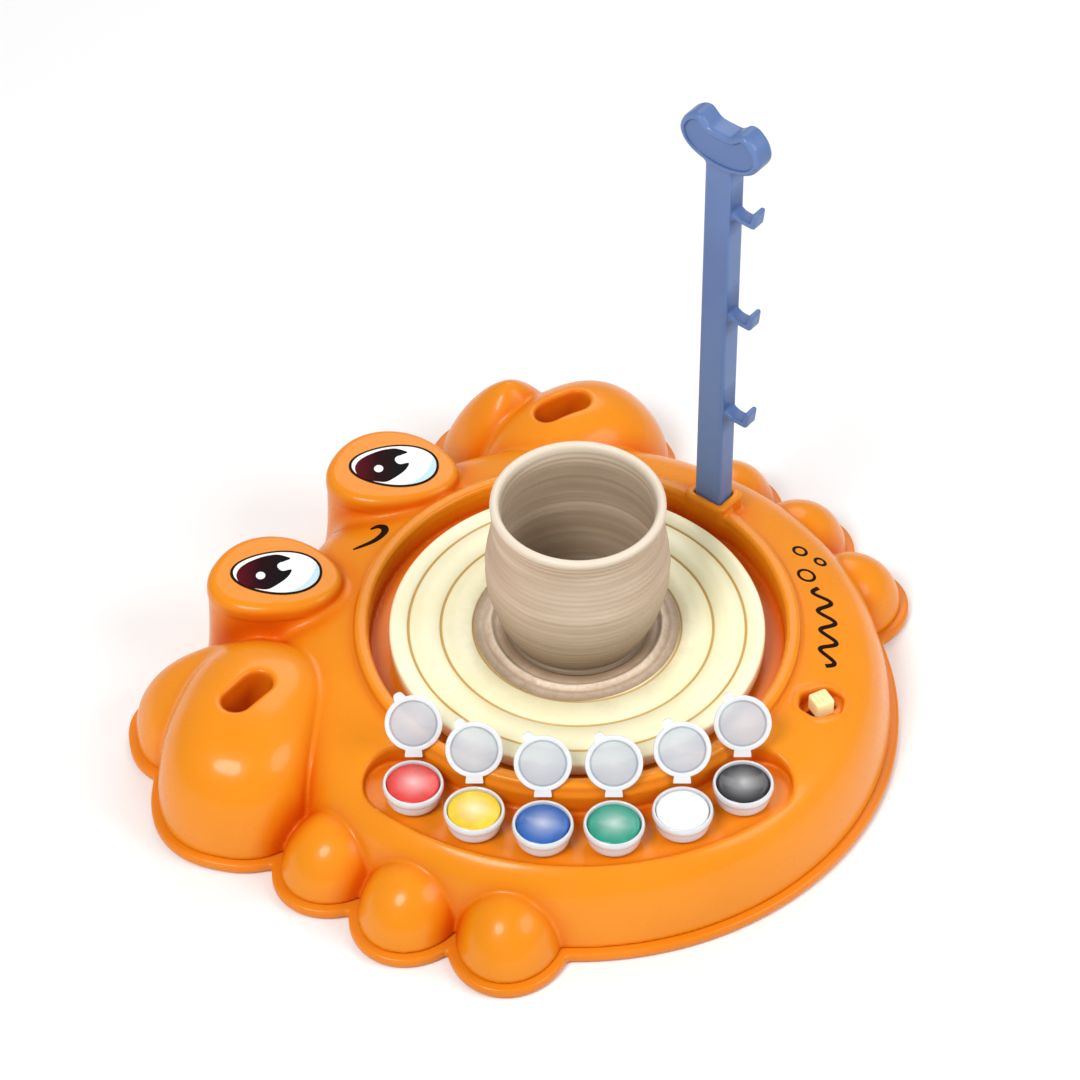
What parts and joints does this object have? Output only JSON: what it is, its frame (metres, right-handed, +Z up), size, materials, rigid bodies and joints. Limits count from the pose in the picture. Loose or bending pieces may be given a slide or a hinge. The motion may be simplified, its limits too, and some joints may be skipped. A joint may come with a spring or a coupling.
{
  "type": "toy pottery wheel",
  "caption": "Crab-shaped battery-driven pottery wheel with a spinning turntable, clay pot, paint cups with flip lids, tool slots and a hook post.",
  "frame": {"origin": "point on the turntable's axis at table height, on the bottom of the centre foot", "axes": "+Z up along the turntable's axis; the paint cups and the user are on the -Y side; the crab's face looks towards -X and a little +Y"},
  "size_m": [0.318, 0.3238, 0.2532],
  "materials": {
    "shell": "glossy orange ABS",
    "base": "glossy orange ABS",
    "turntable": "satin cream plastic with gold-brown groove lines",
    "knob": "satin cream plastic",
    "post": "satin slate-blue plastic",
    "clay": "wet grey-beige clay with throwing rings",
    "cup": "milky translucent plastic",
    "lid": "milky translucent plastic",
    "ink": "printed black",
    "eye": "printed white, black and maroon",
    "rubber": "matt black",
    "steel": "bright zinc-plated",
    "nylon": "natural white acetal",
    "cell": "printed dark sleeve",
    "brass": "bright",
    "lead_red": "red PVC insulation",
    "lead_black": "black PVC insulation",
    "frame": "dark grey moulding",
    "paint_red": "wet glossy paint",
    "paint_yellow": "wet glossy paint",
    "paint_blue": "wet glossy paint",
    "paint_green": "wet glossy paint",
    "paint_white": "wet glossy paint",
    "paint_black": "wet glossy paint"
  },
  "bodies": {
    "housing": {"upper_shell": "shell", "lower_shell": "base", "battery_door": "base", "battery_door_screw": "steel", "foot_centre": "rubber", "eye_print_near": "eye", "eye_print_far": "eye", "mouth_print": "ink", "wave_print": "ink", "motor": "steel", "idler_axle": "steel", "gearbox_frame": "frame", "spindle_bush": "brass", "battery_contact_front": "steel", "battery_contact_back": "steel", "switch_body": "frame", "lead_red": "lead_red", "lead_black": "lead_black", "shell_screw_1": "steel", "shell_screw_2": "steel", "shell_screw_3": "steel", "shell_screw_4": "steel", "shell_screw_5": "steel", "shell_screw_6": "steel", "foot_1": "rubber", "battery_1": "cell", "foot_2": "rubber", "battery_2": "cell", "foot_3": "rubber", "battery_3": "cell", "foot_4": "rubber", "battery_4": "cell"},
    "turntable": {"turntable": "turntable", "spindle": "steel", "output_gear": "nylon"},
    "clay_pot": {"clay_pot": "clay"},
    "idler": {"idler_gear": "nylon"},
    "motor_rotor": {"motor_pinion": "brass", "motor_shaft": "steel"},
    "switch_knob": {"switch_knob": "knob"},
    "tool_post": {"tool_post": "post"},
    "cup_red": {"paint_cup_red": "cup", "paint_red": "paint_red"},
    "lid_red": {"paint_lid_red": "lid"},
    "cup_yellow": {"paint_cup_yellow": "cup", "paint_yellow": "paint_yellow"},
    "lid_yellow": {"paint_lid_yellow": "lid"},
    "cup_blue": {"paint_cup_blue": "cup", "paint_blue": "paint_blue"},
    "lid_blue": {"paint_lid_blue": "lid"},
    "cup_green": {"paint_cup_green": "cup", "paint_green": "paint_green"},
    "lid_green": {"paint_lid_green": "lid"},
    "cup_white": {"paint_cup_white": "cup", "paint_white": "paint_white"},
    "lid_white": {"paint_lid_white": "lid"},
    "cup_black": {"paint_cup_black": "cup", "paint_black": "paint_black"},
    "lid_black": {"paint_lid_black": "lid"}
  },
  "joints": [
    {"name": "turntable_spin", "type": "hinge", "parent": "housing", "child": "turntable", "pos_m": [0, 0, 0.04], "axis": [0, 0, 1], "continuous": true},
    {"name": "pot_lift", "type": "slide", "parent": "turntable", "child": "clay_pot", "axis": [0, 0, 1], "range_m": [0, 0.15]},
    {"name": "idler_spin", "type": "hinge", "parent": "housing", "child": "idler", "pos_m": [-0.03524, -0.01283, 0.028], "axis": [0, 0, 1], "continuous": true},
    {"name": "motor_spin", "type": "hinge", "parent": "housing", "child": "motor_rotor", "pos_m": [-0.05168, -0.01881, 0.032], "axis": [0, 0, 1], "continuous": true},
    {"name": "switch_slide", "type": "slide", "parent": "housing", "child": "switch_knob", "axis": [0.8829, 0.4695, 0], "range_m": [-0.003, 0.003]},
    {"name": "post_lift", "type": "slide", "parent": "housing", "child": "tool_post", "axis": [0, 0, 1], "range_m": [0, 0.2]},
    {"name": "cup_lift_red", "type": "slide", "parent": "housing", "child": "cup_red", "axis": [0, 0, 1], "range_m": [0, 0.05]},
    {"name": "lid_hinge_red", "type": "hinge", "parent": "cup_red", "child": "lid_red", "pos_m": [-0.06392, -0.0704, 0.0481], "axis": [1, 0, 0], "range_deg": [0, 122]},
    {"name": "cup_lift_yellow", "type": "slide", "parent": "housing", "child": "cup_yellow", "axis": [0, 0, 1], "range_m": [0, 0.05]},
    {"name": "lid_hinge_yellow", "type": "hinge", "parent": "cup_yellow", "child": "lid_yellow", "pos_m": [-0.04018, -0.08411, 0.0481], "axis": [1, 0, 0], "range_deg": [0, 122]},
    {"name": "cup_lift_blue", "type": "slide", "parent": "housing", "child": "cup_blue", "axis": [0, 0, 1], "range_m": [0, 0.05]},
    {"name": "lid_hinge_blue", "type": "hinge", "parent": "cup_blue", "child": "lid_blue", "pos_m": [-0.01371, -0.0912, 0.0481], "axis": [1, 0, 0], "range_deg": [0, 122]},
    {"name": "cup_lift_green", "type": "slide", "parent": "housing", "child": "cup_green", "axis": [0, 0, 1], "range_m": [0, 0.05]},
    {"name": "lid_hinge_green", "type": "hinge", "parent": "cup_green", "child": "lid_green", "pos_m": [0.01371, -0.0912, 0.0481], "axis": [1, 0, 0], "range_deg": [0, 122]},
    {"name": "cup_lift_white", "type": "slide", "parent": "housing", "child": "cup_white", "axis": [0, 0, 1], "range_m": [0, 0.05]},
    {"name": "lid_hinge_white", "type": "hinge", "parent": "cup_white", "child": "lid_white", "pos_m": [0.04018, -0.08411, 0.0481], "axis": [1, 0, 0], "range_deg": [0, 122]},
    {"name": "cup_lift_black", "type": "slide", "parent": "housing", "child": "cup_black", "axis": [0, 0, 1], "range_m": [0, 0.05]},
    {"name": "lid_hinge_black", "type": "hinge", "parent": "cup_black", "child": "lid_black", "pos_m": [0.06392, -0.0704, 0.0481], "axis": [1, 0, 0], "range_deg": [0, 122]}
  ],
  "couplings": [
    {"joint": "idler_spin", "follows": "turntable_spin", "ratio": -4},
    {"joint": "motor_spin", "follows": "turntable_spin", "ratio": 16}
  ]
}
